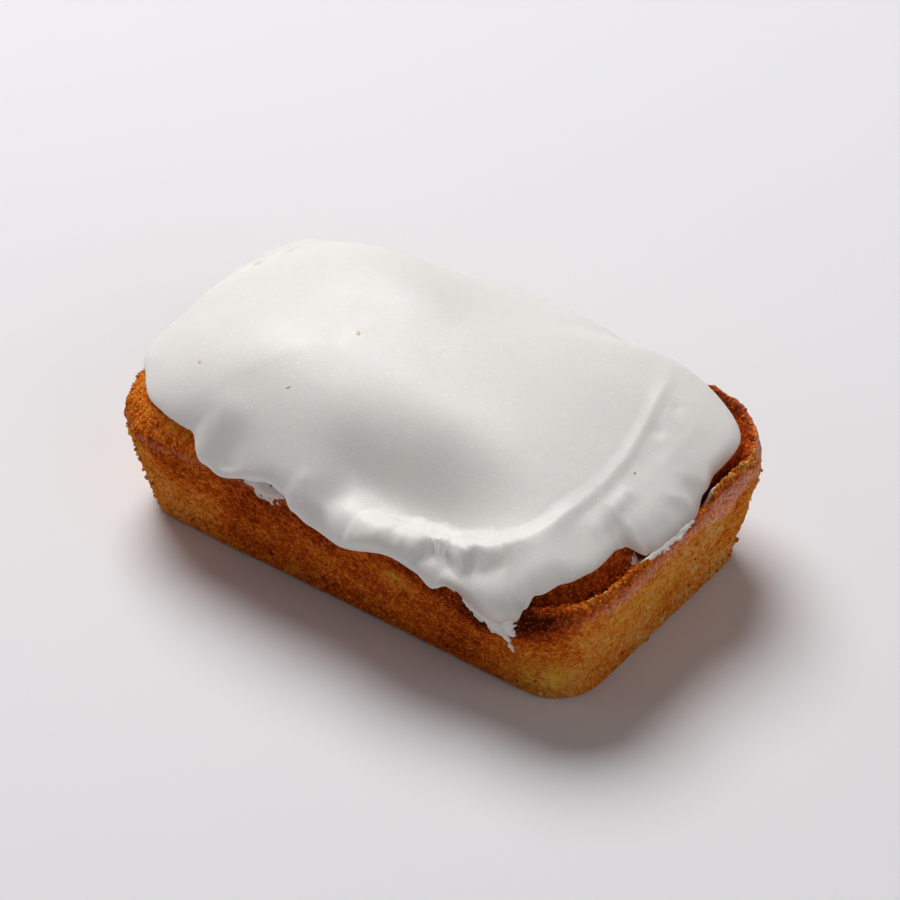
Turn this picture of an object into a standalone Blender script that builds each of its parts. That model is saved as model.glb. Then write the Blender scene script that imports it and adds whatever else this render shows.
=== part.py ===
# A small lemon loaf cake, baked in a tin and covered with white icing.
# The long side lies along X, the base stands on Z = 0 and the origin is under the middle of the loaf.
#
# A place on the loaf's skin is given by two numbers. The angle runs round the middle, from +X towards +Y.
# The reach starts below 0 in the middle of the dome, is 0 at the rim, and goes on down the wall and
# under the base to its middle.

import bpy
import bmesh
import numpy as np
from mathutils import Vector, noise

mm = 0.001

# The loaf as the tin shapes it
rim_length = 96 * mm
rim_width = 64 * mm
rim_height = 22.6 * mm
rim_corner = 15.4 * mm
rim_round = 0.9 * mm
base_length = 86.8 * mm
base_width = 49.8 * mm
base_corner = 8 * mm
base_round = 1.8 * mm

# The dome that rose above the tin. A higher fullness is flatter on top and steeper at the rim.
dome_rise = 14 * mm
dome_fullness = 2.45
back_slump = 0.45
end_fullness = 0.5

# The dome stands higher towards its left end. It levels off within this length there, and towards the back.
left_rise = 0.42
level_left = 20 * mm
level_back = 26 * mm

# Where the rim sags, or stands up where the depth is below 0: angle in degrees, depth, half width in degrees
rim_sags = (
    (-148, 2.6 * mm, 20),
    (-47, 2.4 * mm, 8),
    (-30, 1.2 * mm, 11),
    (31, 1.8 * mm, 8),
    (56, 3 * mm, 10),
    (92, -0.7 * mm, 18),
    (131, 1 * mm, 20),
    (141, 4.2 * mm, 13),
)
sag_falloff = 4

# Where the dome sinks, or swells where the depth is below 0:
# place seen from above, depth, half length, half width, turn in degrees
dome_dips = (
    ((17 * mm, -23 * mm), 6 * mm, 13 * mm, 7.4 * mm, 5),
    ((3 * mm, -24.4 * mm), 1.7 * mm, 7 * mm, 3.8 * mm, 0),
    ((-43 * mm, -5 * mm), -2.2 * mm, 6 * mm, 9 * mm, 0),
    ((-18 * mm, 6 * mm), -1 * mm, 17 * mm, 8 * mm, 0),
    ((-25 * mm, 25 * mm), 2.4 * mm, 12 * mm, 6 * mm, 15),
)
dip_fade = 2.2 * mm

# The baked lip that stands along the rim, and the gully between it and the dome:
# from this angle to that one, with the lip's height and the gully's depth
lip_runs = (
    (-46, -24, 0.4 * mm, 1.9 * mm),
    (-24, 52, 1.3 * mm, 2.1 * mm),
    (62, 98, 0.5 * mm, 0.6 * mm),
    (126, 168, 0.9 * mm, 0.9 * mm),
)
lip_fade = 5
lip_place = -0.7 * mm
lip_width = 1.1 * mm
gully_place = -2.9 * mm
gully_width = 1.1 * mm

# The torn flap of crust that stands out of the lip at the right end
flap_start = 8
flap_end = 21
flap_place = -0.3 * mm
flap_width = 0.9 * mm
flap_height = 1.9 * mm
flap_lean = 0.8 * mm
flap_fade = 1.5

# Crags and dents of the crust
crag_size = 3.2 * mm
crag_height = 0.45 * mm
dent_size = 14 * mm
dent_depth = 0.5 * mm
crumb_seed = 11
seed_shift = (7.3, 3.1, 5.7)
crag_fade = 4 * mm
dent_top_fade = 2 * mm
dent_foot_fade = 3 * mm

# The icing: gap over the crust, thickness, and the width of its rounded edge
icing_gap = 0.4 * mm
rim_gap = 0.4 * mm
rim_gap_width = 2.5 * mm
icing_thickness = 2.1 * mm
icing_edge_width = 2.2 * mm
icing_clear = 1.2 * mm
icing_clear_turn = 2
feather_width = 6 * mm
upright_depth = 2.5 * mm

# The icing's edge turns at these places: angle in degrees, reach
icing_turns = (
    (-178, -0.6 * mm),
    (-160, -2.2 * mm),
    (-151, -3.9 * mm),
    (-142, -3.6 * mm),
    (-133, -2.8 * mm),
    (-126, 0 * mm),
    (-121.5, 0.7 * mm),
    (-114, -0.3 * mm),
    (-108, -1 * mm),
    (-103, -0.6 * mm),
    (-98, 1 * mm),
    (-92, 2 * mm),
    (-82.5, 3 * mm),
    (-65, 0.6 * mm),
    (-58.5, 1 * mm),
    (-55, 2 * mm),
    (-51.8, 0.2 * mm),
    (-49, 0.4 * mm),
    (-42.5, 3 * mm),
    (-39.8, 1.4 * mm),
    (-38.2, -0.8 * mm),
    (-35.7, -2.6 * mm),
    (-30, -4 * mm),
    (-25, -4.4 * mm),
    (-17.5, -5 * mm),
    (-15, -4.5 * mm),
    (-11.6, -1.5 * mm),
    (-8, -0.5 * mm),
    (-3, -0.3 * mm),
    (3, -0.5 * mm),
    (9, -2.4 * mm),
    (14, -3.2 * mm),
    (23, -3.4 * mm),
    (40, -6.4 * mm),
    (58, -2.4 * mm),
    (74, 0.6 * mm),
    (85, -1.2 * mm),
    (99, 1.8 * mm),
    (112, -0.6 * mm),
    (123, 0.8 * mm),
    (139, -1.4 * mm),
    (152, -3.2 * mm),
    (166, -1.2 * mm),
)

# Where the icing thins to a smear: from this angle to that one
feathers = (
    (-52, -38),
    (-17, 8),
    (-182, -165),
)
feather_fade = 3

# Where the icing's edge is rounded more broadly: from this angle to that one, extra width
soft_edges = (
    (-62, -14, 3 * mm),
    (-150, -112, 2.2 * mm),
    (-104, -84, 1.5 * mm),
)
soft_fade = 5

# The roll of icing that the spreading knife left, in mm: place seen from above, height, width of its flat
# top, widths of its inner and outer slopes, how far the icing beyond it is pressed down
knife_roll = (
    (6, -31.8, 0.25, 0.3, 3, 1, 0),
    (7.2, -32.1, 0.7, 0.6, 4.4, 1.2, 0.5),
    (9, -32.3, 1, 0.8, 5.4, 1.3, 0.9),
    (12, -31.8, 1.15, 0.8, 6, 1.5, 1.1),
    (15.5, -31, 1.35, 0.8, 6, 1.6, 1.2),
    (18.2, -29.2, 1.5, 0.6, 5.6, 1.8, 1.2),
    (21, -28, 1.7, 0.4, 5.2, 1.9, 1.2),
    (24.2, -27.3, 1.75, 0.3, 4.6, 2, 1.4),
    (27.2, -26.3, 1.6, 0.2, 4.2, 2.1, 1.4),
    (30.2, -25, 1.1, 0.1, 3.6, 3, 0.6),
    (33.6, -20.4, 0.6, 0, 2.8, 3.4, 0.1),
    (34.9, -13.8, 0.42, 0, 2.4, 1.8, 0),
    (35.2, -7.2, 0.36, 0, 2, 1.6, 0),
    (34.5, 0.6, 0.32, 0, 1.8, 1.6, 0),
    (32.5, 10.3, 0.3, 0, 1.8, 1.6, 0),
    (30.6, 17, 0.25, 0, 1.8, 1.8, 0),
    (28.8, 21, 0.1, 0, 2.2, 2.2, 0),
)
roll_slope = 1.4

# Smaller ridges in mm, or grooves where the height is below 0: start, end, height, half width
small_ridges = (
    ((39.3, -13.6), (38.6, -5.2), 0.42, 1.2),
    ((40.6, -13), (40.4, -8.5), -0.25, 1.2),
    ((43.5, 1.2), (45.5, 2.8), 0.4, 0.9),
    ((45.5, 2.8), (48, 3.2), 0.4, 0.9),
    ((44, -1), (46.4, 0.8), -0.35, 1.2),
    ((36.8, -2), (37, 5.5), -0.12, 1.6),
    ((-46, 3), (-43, 11), 0.5, 1.3),
    ((-43, 11), (-39, 17), 0.5, 1.3),
    ((-44.6, 0.5), (-41.6, 7), -1, 1),
    ((-41.6, 7), (-38.6, 12), -0.7, 0.9),
    ((-38.6, 12), (-34.5, 16), -0.6, 0.9),
)

# Hollows in the icing in mm, or bumps where the depth is below 0:
# middle, depth, half length along X, half width along Y
icing_hollows = (
    ((-18.5, -29.6), 2.1, 3.6, 2.3),
    ((-21, -26.2), -0.6, 4.5, 2.6),
    ((-4.1, -28.9), -0.25, 1.3, 1.1),
    ((0.8, -30), 1.2, 2.8, 3.2),
    ((44.9, 6.8), 0.5, 2.4, 2.8),
    ((39, -19), 0.4, 2.6, 4),
    ((37.5, -24), -0.9, 4.5, 4),
)

# Mesh fineness
cake_segments = 96
icing_segments = 116
icing_top_rings = 26
icing_under_rings = 9
ridge_steps = 200

# Rings of the cake's mesh: how many cross the dome, the lip, the wall and the foot, and where the lip's lie
dome_rings = 7
lip_rings = 12
wall_rings = 8
foot_rings = 4
lip_start = -6 * mm
lip_end = 0.6 * mm
dome_gap = 0.6 * mm
dome_crowding = 0.8
wall_crowding = 1.2
base_ring = 0.35
icing_crowding = 1.6

# Steps for measuring the skin's direction, the turn in radians
normal_step = 0.05 * mm
normal_turn = 0.002
normal_margin = 0.5 * mm

# Segments crowd together round the corner where the icing and the crust are the most uneven
crowded_angle = -40
segment_crowding = 0.4

# Materials: colour, roughness
crust_look = ((0.42, 0.15, 0.035, 1), 0.75)
icing_look = ((0.86, 0.85, 0.82, 1), 0.42)


def clear_scene():
    for item in list(bpy.data.objects):
        bpy.data.objects.remove(item)


def outline(angle, half_length, half_width, corner):
    """Distance from the middle to the edge of a rounded rectangle, along an angle."""
    along = np.abs(np.cos(angle))
    across = np.abs(np.sin(angle))
    straight = np.minimum(half_length / np.maximum(along, 1e-9), half_width / np.maximum(across, 1e-9))
    centre_x = half_length - corner
    centre_y = half_width - corner
    middle = along * centre_x + across * centre_y
    room = middle ** 2 - (centre_x ** 2 + centre_y ** 2 - corner ** 2)
    rounded = middle + np.sqrt(np.maximum(room, 0))
    in_corner = (rounded * along > centre_x) & (rounded * across > centre_y) & (room > 0)
    return np.where(in_corner, rounded, straight)


def soft(value):
    """The value where it is positive and 0 elsewhere, with a rounded turn between."""
    return rim_round * np.logaddexp(0, value / rim_round)


def turn_between(angle, centre):
    """Degrees from centre to angle, the short way round."""
    return (np.degrees(angle) - centre + 180) % 360 - 180


def hump(angle, centre, width):
    return np.exp(-(turn_between(angle, centre) / width) ** 2)


def ease(value):
    value = np.clip(value, 0, 1)
    return value * value * (3 - 2 * value)


def span(angle, start, end, fade):
    """1 between two angles and 0 outside them."""
    half = (end - start) / 2
    away = np.abs(turn_between(angle, start + half))
    return ease((half + fade - away) / (2 * fade))


def dome_lean(x, y):
    """Height of the dome compared with that over its middle."""
    ahead = x * ease((level_back - y) / level_back)
    levelled = level_left * (np.exp(np.minimum(ahead, 0) / level_left) - 1)
    return 1 - left_rise * np.where(ahead > 0, ahead, levelled) / (rim_length / 2)


def dome_dip(x, y):
    """Depth of the sunken places of the dome, less the height of its swellings."""
    total = 0
    for (middle_x, middle_y), depth, length, width, turn in dome_dips:
        cosine = np.cos(np.radians(turn))
        sine = np.sin(np.radians(turn))
        ahead = (x - middle_x) * cosine + (y - middle_y) * sine
        aside = (y - middle_y) * cosine - (x - middle_x) * sine
        total = total + depth * np.exp(-(ahead / length) ** 2 - (aside / width) ** 2)
    return total


def skin(angle, reach):
    """Point of the smooth loaf: its radius from the middle and its height."""
    half_width = rim_width / 2
    half_length = rim_length / 2
    wall = np.clip(reach, None, rim_height - base_round)
    depth = np.minimum(soft(-reach), half_width)
    drop = soft(wall)
    share = depth / half_width
    length_here = half_length - depth * (1 + (half_length / half_width - 1) * share ** 2)
    inner = outline(angle, length_here, half_width - depth, rim_corner * (1 - share))
    rim = outline(angle, half_length, half_width, rim_corner)
    base = outline(angle, base_length / 2, base_width / 2, base_corner)
    x = inner * np.cos(angle)
    y = inner * np.sin(angle)
    sag = sum(deep * hump(angle, centre, width) for centre, deep, width in rim_sags)
    sag = sag * (inner / rim) ** sag_falloff
    fullness = dome_fullness - back_slump * np.sin(angle) + end_fullness * np.cos(angle) ** 2
    rise = dome_rise * dome_lean(x, y) * (1 - (inner / rim) ** fullness)
    turn = np.clip((reach - rim_height + base_round) / base_round, 0, 1) * np.pi / 2
    under = np.clip((reach - rim_height) / half_width, 0, 1)
    radius = inner - (rim - base) * drop / rim_height - base_round * (1 - np.cos(turn))
    height = (rim_height - drop) * (1 - sag / rim_height) + rise - (base_round - soft(0)) * np.sin(turn)
    inland = 1 - np.exp(-(depth / dip_fade) ** 2)
    height = height - inland * dome_dip(radius * np.cos(angle), radius * np.sin(angle))
    height = np.where(turn > 0, base_round * (1 - np.sin(turn)), height)
    return radius * (1 - under), height


def place(angle, radius, height):
    return np.stack([radius * np.cos(angle), radius * np.sin(angle), height], axis=-1)


def skin_normal(angle, reach):
    """Outward direction of the smooth loaf."""
    most = rim_width / 2 - normal_margin
    reach = np.clip(reach, -most, rim_height + most)
    across = place(angle, *skin(angle, reach + normal_step)) - place(angle, *skin(angle, reach - normal_step))
    ahead = angle + normal_turn
    behind = angle - normal_turn
    along = place(ahead, *skin(ahead, reach)) - place(behind, *skin(behind, reach))
    normal = np.cross(across, along)
    return normal / np.linalg.norm(normal, axis=-1, keepdims=True)


def lumps(points, size, seed):
    """Smooth noise from -1 to 1, with lumps of this size."""
    offset = seed * Vector(seed_shift)
    return np.array([noise.noise(Vector(point) / size + offset) for point in points])


def bare(angle, reach):
    """1 where the crust is bare and 0 under the icing and close beside it."""
    beside = np.radians(icing_clear_turn)
    edge = np.maximum(icing_edge(angle - beside), icing_edge(angle + beside))
    return ease((reach - np.maximum(edge, icing_edge(angle))) / icing_clear)


def flap_share(angle, reach):
    """1 along the crest of the torn flap and 0 away from it."""
    return span(angle, flap_start, flap_end, flap_fade) * np.exp(-((reach - flap_place) / flap_width) ** 2)


def lip_lift(angle, reach):
    """How far the baked lip and the flap stand above the smooth rim."""
    lift = 0
    for start, end, height, _ in lip_runs:
        lift = lift + height * span(angle, start, end, lip_fade)
    lift = lift * np.exp(-((reach - lip_place) / lip_width) ** 2)
    return (lift + flap_height * flap_share(angle, reach)) * bare(angle, reach)


def gully_drop(angle, reach):
    drop = 0
    for start, end, _, depth in lip_runs:
        drop = drop + depth * span(angle, start, end, lip_fade)
    return drop * np.exp(-((reach - gully_place) / gully_width) ** 2)


def crust_point(angle, reach):
    """Point of the baked crust, with its lip, gully, flap, crags and dents."""
    smooth = place(angle, *skin(angle, reach))
    normal = skin_normal(angle, reach)
    on_wall = ease(reach / dent_top_fade) * ease((rim_height - base_round - reach) / dent_foot_fade)
    craggy = bare(angle, reach) * ease((rim_height - reach) / crag_fade)
    crags = crag_height * lumps(smooth, crag_size, crumb_seed) * craggy
    dents = dent_depth * lumps(smooth, dent_size, crumb_seed + 1) * on_wall * bare(angle, reach)
    point = smooth + normal * (crags + dents)[:, None]
    point[:, 2] += lip_lift(angle, reach) - gully_drop(angle, reach)
    point[:, 0] += flap_lean * flap_share(angle, reach)
    point[reach >= rim_height, 2] = 0
    return point


def icing_edge(angle):
    """Reach of the icing's edge, easing from each turn to the next."""
    turns = sorted(icing_turns)
    stations = np.array([turns[-1][0] - 360] + [turn[0] for turn in turns] + [turns[0][0] + 360])
    reaches = np.array([turns[-1][1]] + [turn[1] for turn in turns] + [turns[0][1]])
    degrees = (np.degrees(angle) + 180) % 360 - 180
    after = np.clip(np.searchsorted(stations, degrees), 1, len(stations) - 1)
    share = (degrees - stations[after - 1]) / (stations[after] - stations[after - 1])
    return reaches[after - 1] + (reaches[after] - reaches[after - 1]) * ease(share)


def smooth_path(corners, steps):
    """Points along a smooth curve through the corners."""
    corners = np.array(corners)
    ends = np.concatenate([2 * corners[:1] - corners[1:2], corners, 2 * corners[-1:] - corners[-2:-1]])
    places = np.linspace(0, len(corners) - 1 - 1e-6, steps)
    first = places.astype(int)
    t = (places - first)[:, None]
    p0, p1, p2, p3 = (ends[first + shift] for shift in range(4))
    bend = (2 * p0 - 5 * p1 + 4 * p2 - p3) * t ** 2 + (3 * p1 - p0 - 3 * p2 + p3) * t ** 3
    return p1 + 0.5 * ((p2 - p0) * t + bend)


def beside_path(flat, path):
    """Distance of each place to the right of the path, how far along the path it is from 0 to 1, and how far
    past the path's ends it is."""
    away = flat[:, None] - path[None]
    nearest = np.argmin((away ** 2).sum(axis=2), axis=1)
    heading = np.gradient(path, axis=0)[nearest]
    heading = heading / np.linalg.norm(heading, axis=1, keepdims=True)
    offset = flat - path[nearest]
    side = offset[:, 0] * heading[:, 1] - offset[:, 1] * heading[:, 0]
    ahead = (offset * heading).sum(axis=1)
    past_end = np.where(nearest == len(path) - 1, np.maximum(ahead, 0), 0)
    beyond = np.where(nearest == 0, np.maximum(-ahead, 0), past_end)
    return side, nearest / (len(path) - 1), beyond


def icing_relief(flat):
    """Height that the knife's roll, the small ridges and the hollows add to the icing, seen from above."""
    roll = np.array(knife_roll) * mm
    side, along, beyond = beside_path(flat, smooth_path(roll[:, :2], ridge_steps))
    corner = along * (len(roll) - 1)
    columns = (np.interp(corner, np.arange(len(roll)), column) for column in roll[:, 2:].T)
    height, top, inner, outer, press = columns
    away = np.sqrt(side ** 2 + beyond ** 2)
    inside = height * (1 - np.clip((away - top) / inner, 0, 1)) ** roll_slope
    outside = height - (height + press) * ease(away / outer)
    relief = np.where(side < 0, inside, outside)
    for start, end, height, width in small_ridges:
        line = np.linspace(start, end, ridge_steps) * mm
        side, _, beyond = beside_path(flat, line)
        relief = relief + height * mm * np.exp(-(side ** 2 + beyond ** 2) / (width * mm) ** 2)
    for middle, depth, length, width in icing_hollows:
        gap = (flat / mm - np.array(middle)) / np.array((length, width))
        relief = relief - depth * mm * np.exp(-(gap ** 2).sum(axis=1))
    return relief


def icing_bed(angle, reach):
    """Surface that the icing lies on: the smooth loaf, so that it bridges the gully."""
    clear = icing_gap + rim_gap * np.exp(-(reach / rim_gap_width) ** 2)
    return place(angle, *skin(angle, reach)) + skin_normal(angle, reach) * clear[:, None]


def ball(name, segments, stations, shape_of):
    """A closed ball whose rings lie at these stations, moved into shape."""
    form = bmesh.new()
    bmesh.ops.create_uvsphere(form, u_segments=segments, v_segments=len(stations) - 1, radius=1)
    places = np.array([vertex.co for vertex in form.verts])
    angle = np.arctan2(places[:, 1], places[:, 0])
    ring = np.rint(np.arccos(np.clip(places[:, 2], -1, 1)) / np.pi * (len(stations) - 1)).astype(int)
    angle = angle - segment_crowding * np.sin(angle - np.radians(crowded_angle))
    points = shape_of(angle, np.array(stations)[ring], ring)
    for vertex, point in zip(form.verts, points):
        vertex.co = point
    mesh = bpy.data.meshes.new(name)
    form.to_mesh(mesh)
    form.free()
    mesh.shade_smooth()
    return bpy.data.objects.new(name, mesh)


def look(name, colour, roughness):
    material = bpy.data.materials.new(name)
    material.use_nodes = True
    shader = material.node_tree.nodes["Principled BSDF"]
    shader.inputs["Base Color"].default_value = colour
    shader.inputs["Roughness"].default_value = roughness
    shader.inputs["Metallic"].default_value = 0
    return material


def make_cake():
    """The baked loaf, solid through, with a flat base."""
    half_width = rim_width / 2
    dome_end = lip_start - dome_gap
    dome = -half_width + (half_width + dome_end) * np.linspace(0, 1, dome_rings) ** dome_crowding
    lip = np.linspace(lip_start, lip_end, lip_rings)
    wall_end = rim_height - base_round
    wall = lip_end + (wall_end - lip_end) * np.linspace(0, 1, wall_rings)[1:] ** wall_crowding
    foot = rim_height - base_round * np.linspace(1, 0, foot_rings)[1:]
    base = rim_height + half_width * np.array([base_ring, 1])
    stations = np.concatenate([dome, lip, wall, foot, base])
    return ball("cake", cake_segments, stations, lambda angle, reach, ring: crust_point(angle, reach))


def make_icing():
    """The icing: a skin poured over the dome, thick in the middle, rounded or feathered at its edge."""
    top = 1 - (1 - np.linspace(0, 1, icing_top_rings + 1)) ** icing_crowding
    under = 1 - (1 - np.linspace(1, 0, icing_under_rings + 2)[1:]) ** icing_crowding
    stations = np.concatenate([top, under])

    def shape(angle, share, ring):
        half_width = rim_width / 2
        edge = icing_edge(angle)
        reach = share * (edge + half_width) - half_width
        inset = edge - reach
        smeared = np.clip(sum(span(angle, start, end, feather_fade) for start, end in feathers), 0, 1)
        softer = sum(more * span(angle, start, end, soft_fade) for start, end, more in soft_edges)
        width = icing_edge_width + softer
        width = width + (feather_width - width) * smeared
        swell = np.sqrt(1 - (1 - np.clip(inset / width, 0, 1)) ** 2)
        bed = icing_bed(angle, reach)
        normal = skin_normal(angle, reach)
        relief = icing_relief(bed[:, :2]) * ease(inset / icing_edge_width)
        upright = ease(-reach / upright_depth)
        on_top = swell * (ring <= icing_top_rings)
        points = bed + normal * (on_top * (icing_thickness + relief * (1 - upright)))[:, None]
        points[:, 2] += on_top * relief * upright
        return points

    return ball("icing", icing_segments, stations, shape)


def build():
    clear_scene()
    loaf = bpy.data.collections.new("lemon_loaf_cake")
    bpy.context.scene.collection.children.link(loaf)
    cake = make_cake()
    cake.data.materials.append(look("crust", *crust_look))
    icing = make_icing()
    icing.data.materials.append(look("icing", *icing_look))
    for piece in (cake, icing):
        loaf.objects.link(piece)


build()
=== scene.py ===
import bmesh
import bpy
import numpy as np
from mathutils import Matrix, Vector, noise


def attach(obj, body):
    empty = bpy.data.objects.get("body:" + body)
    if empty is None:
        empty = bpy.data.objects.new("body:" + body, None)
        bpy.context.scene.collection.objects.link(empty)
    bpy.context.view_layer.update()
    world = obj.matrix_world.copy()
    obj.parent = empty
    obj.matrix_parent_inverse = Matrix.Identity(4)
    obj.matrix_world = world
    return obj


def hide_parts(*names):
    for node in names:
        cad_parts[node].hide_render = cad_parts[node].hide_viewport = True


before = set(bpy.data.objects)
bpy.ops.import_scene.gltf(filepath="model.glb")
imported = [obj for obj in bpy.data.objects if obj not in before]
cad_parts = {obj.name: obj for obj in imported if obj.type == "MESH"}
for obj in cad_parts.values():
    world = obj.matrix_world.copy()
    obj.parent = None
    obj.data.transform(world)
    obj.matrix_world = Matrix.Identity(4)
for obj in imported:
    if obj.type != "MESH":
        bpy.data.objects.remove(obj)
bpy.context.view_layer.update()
mm = 0.001  # lengths below are in millimetres until they reach Blender
print("frame loaded:", ", ".join(sorted(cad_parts)))


# Camera and studio

studio = {
    "lens": 152, "sensor": 36, "clipStart": 10,
    "azimuth": 36.4, "elevation": 38.7, "distance": 617.5,
    "target": (-1.73, 4.99, 11.52),
    "worldColour": (0.985, 0.985, 1.0), "worldStrength": 0.08,
    # name: azimuth, elevation, distance, size, power in watts, colour
    "lights": {
        "window": (238, 57, 1100, 760, 12.5, (1.0, 0.992, 0.985)),
        "leftFill": (300, 13, 1200, 500, 0.9, (1.0, 0.97, 0.93)),
        "rightFill": (80, 32, 1300, 1100, 3.0, (1.0, 0.985, 0.975)),
    },
}


def newObject(name, data):
    thing = bpy.data.objects.new(name, data)
    bpy.context.scene.collection.objects.link(thing)
    return thing


def aim(thing, azimuth, elevation, distance):  # at the target, from an azimuth that is 0 on the -Y side
    turn, lift = np.radians(azimuth), np.radians(elevation)
    back = Vector((np.sin(turn) * np.cos(lift), -np.cos(turn) * np.cos(lift), np.sin(lift)))
    thing.location = (Vector(studio["target"]) + back * distance) * mm
    thing.rotation_euler = (-back).to_track_quat("-Z", "Y").to_euler()


def makeCamera():
    lensData = bpy.data.cameras.new("photoCamera")
    lensData.lens = studio["lens"]
    lensData.sensor_width = studio["sensor"]
    lensData.clip_start = studio["clipStart"] * mm
    camera = newObject("photoCamera", lensData)
    aim(camera, studio["azimuth"], studio["elevation"], studio["distance"])
    bpy.context.scene.camera = camera


def makeLights():
    for name, (azimuth, elevation, distance, size, power, colour) in studio["lights"].items():
        lamp = bpy.data.lights.new(name, "AREA")
        lamp.shape = "DISK"
        lamp.size = size * mm
        lamp.energy = power
        lamp.color = colour
        aim(newObject(name, lamp), azimuth, elevation, distance)
    world = bpy.data.worlds.new("studioAir")
    world.use_nodes = True
    air = world.node_tree.nodes["Background"]
    air.inputs["Color"].default_value = (*studio["worldColour"], 1)
    air.inputs["Strength"].default_value = studio["worldStrength"]
    bpy.context.scene.world = world
    bpy.context.scene.view_settings.view_transform = "Standard"


# Shared shader groups

def display(red, green, blue):  # a colour as a screen shows it, 0 to 255, turned into light
    share = np.array([red, green, blue]) / 255
    light = np.where(share > 0.04045, ((share + 0.055) / 1.055) ** 2.4, share / 12.92)
    return (*light.tolist(), 1)


def newGroup(name, takes, gives):
    group = bpy.data.node_groups.new(name, "ShaderNodeTree")
    for socket, value in takes.items():
        made = group.interface.new_socket(name=socket, in_out="INPUT", socket_type="NodeSocketFloat")
        made.default_value = value
    for socket in gives:
        group.interface.new_socket(name=socket, in_out="OUTPUT", socket_type="NodeSocketFloat")
    return group, Nodes(group)


class Nodes:  # short ways to add nodes to one tree
    def __init__(self, tree):
        self.tree = tree

    def add(self, kind, settings=None, **inputs):
        node = self.tree.nodes.new(kind)
        for key, value in (settings or {}).items():
            setattr(node, key, value)
        for key, value in inputs.items():
            self.feed(node.inputs[key], value)
        return node

    def feed(self, socket, value):
        if isinstance(value, bpy.types.NodeSocket):
            self.tree.links.new(value, socket)
        else:
            socket.default_value = value

    def math(self, operation, *values, clamp=False):
        node = self.tree.nodes.new("ShaderNodeMath")
        node.operation = operation
        node.use_clamp = clamp
        for socket, value in zip(node.inputs, values):
            self.feed(socket, value)
        return node.outputs[0]

    def times(self, first, second):
        return self.math("MULTIPLY", first, second)

    def between(self, value, low, high, start=0.0, end=1.0):  # clamped linear step
        node = self.add("ShaderNodeMapRange", {"clamp": True}, Value=value)
        for key, number in (("From Min", low), ("From Max", high), ("To Min", start), ("To Max", end)):
            self.feed(node.inputs[key], number)
        return node.outputs["Result"]

    def blend(self, share, first, second):  # from the first colour to the second
        node = self.add("ShaderNodeMix", {"data_type": "RGBA"}, Factor=share)
        self.feed(node.inputs[6], first)
        self.feed(node.inputs[7], second)
        return node.outputs[2]

    def ramp(self, share, stops):
        node = self.add("ShaderNodeValToRGB", Fac=share)
        ramp = node.color_ramp
        while len(ramp.elements) < len(stops):
            ramp.elements.new(0.5)
        for element, (place, colour) in zip(ramp.elements, stops):
            element.position = place
            element.color = colour
        return node.outputs["Color"]

    def tone(self, name):  # a value stored on the mesh
        return self.add("ShaderNodeAttribute", {"attribute_name": name}).outputs["Fac"]

    def use(self, group, **inputs):
        return self.add("ShaderNodeGroup", {"node_tree": group}, **inputs)

    def patches(self, size, contrast, shift):
        return self.use(mottle, Size=size, Contrast=contrast, Shift=shift).outputs["Mask"]

    def put(self, socket, value):  # into the material's shader
        self.feed(self.tree.nodes["Principled BSDF"].inputs[socket], value)

    def bump(self, look, height, strength):
        node = self.add("ShaderNodeBump", Distance=look["bumpHeight"] * mm, Height=height, Strength=strength)
        self.put("Normal", node.outputs[0])


def makeMottle():  # cloudy patches of a given size in mm
    group, nodes = newGroup("softMottle", {"Size": 5.0, "Contrast": 1.0, "Shift": 0.0}, ["Mask"])
    take = nodes.add("NodeGroupInput").outputs
    place = nodes.add("ShaderNodeTexCoord").outputs["Object"]
    moved = nodes.add("ShaderNodeVectorMath", {"operation": "ADD"})
    nodes.feed(moved.inputs[0], place)
    nodes.feed(moved.inputs[1], nodes.add("ShaderNodeCombineXYZ", X=take["Shift"]).outputs[0])
    cloud = nodes.add("ShaderNodeTexNoise", Vector=moved.outputs[0], Detail=3.0, Roughness=0.6,
                      Scale=nodes.math("DIVIDE", 1 / mm, take["Size"]))
    swing = nodes.times(nodes.math("SUBTRACT", cloud.outputs["Fac"], 0.5), take["Contrast"])
    give = nodes.add("NodeGroupOutput")
    nodes.feed(give.inputs["Mask"], nodes.math("ADD", swing, 0.5, clamp=True))
    return group


grainShape = {
    "bend": 0.6, "bendScale": 1.3, "fineScale": 2.2, "creaseSteps": (0.35, 0.75), "fleckSteps": (0.93, 0.97),
    "domeShare": 0.65, "fineShare": 0.5,
}


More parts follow.
